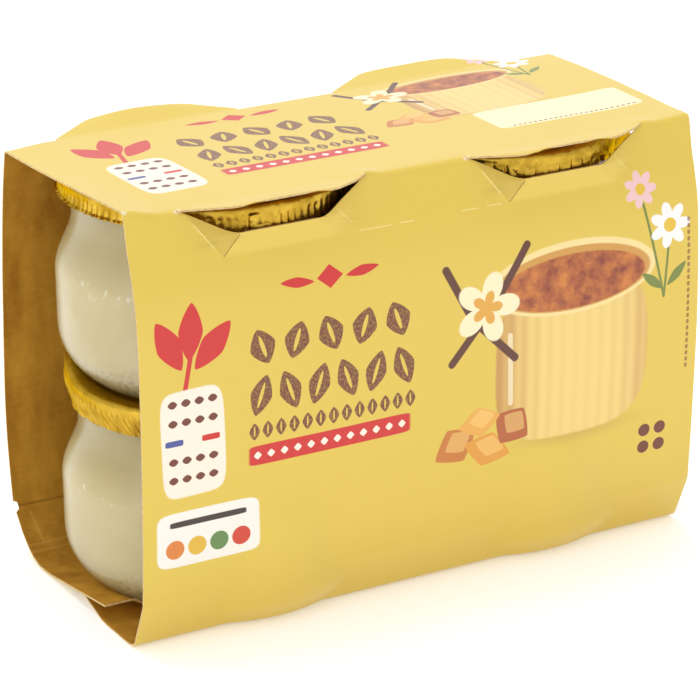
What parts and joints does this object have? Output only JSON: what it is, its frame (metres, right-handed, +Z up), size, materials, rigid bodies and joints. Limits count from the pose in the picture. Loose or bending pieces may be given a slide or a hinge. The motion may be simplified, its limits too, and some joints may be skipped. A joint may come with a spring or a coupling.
{
  "type": "dessert jar multipack",
  "caption": "Stacked glass jars of baked custard with crimped gold foil lids, held by a wrap-around printed carton sleeve with open ends and lid windows along its top edges.",
  "frame": {"origin": "middle of the footprint, on the surface that the pack stands on", "axes": "+X along the length, from one open end to the other, with the printed front towards -Y, and +Z up"},
  "size_m": [0.156, 0.0824, 0.1111],
  "materials": {
    "carton": "coated board with a pale yellow print outside and plain brown fibre inside, cream at its cut edges",
    "glass": "clear moulded glass, slightly green, smooth",
    "custard": "baked egg custard, pale creamy yellow, soft satin",
    "foil": "gold lacquered foil, pleated and bright"
  },
  "bodies": {
    "root": {"sleeve": "carton", "jar_lower_left": "glass", "jar_lower_right": "glass", "jar_upper_left": "glass", "jar_upper_right": "glass", "custard_lower_left": "custard", "custard_lower_right": "custard", "custard_upper_left": "custard", "custard_upper_right": "custard", "lid_lower_left": "foil", "lid_lower_right": "foil", "lid_upper_left": "foil", "lid_upper_right": "foil"}
  },
  "joints": []
}
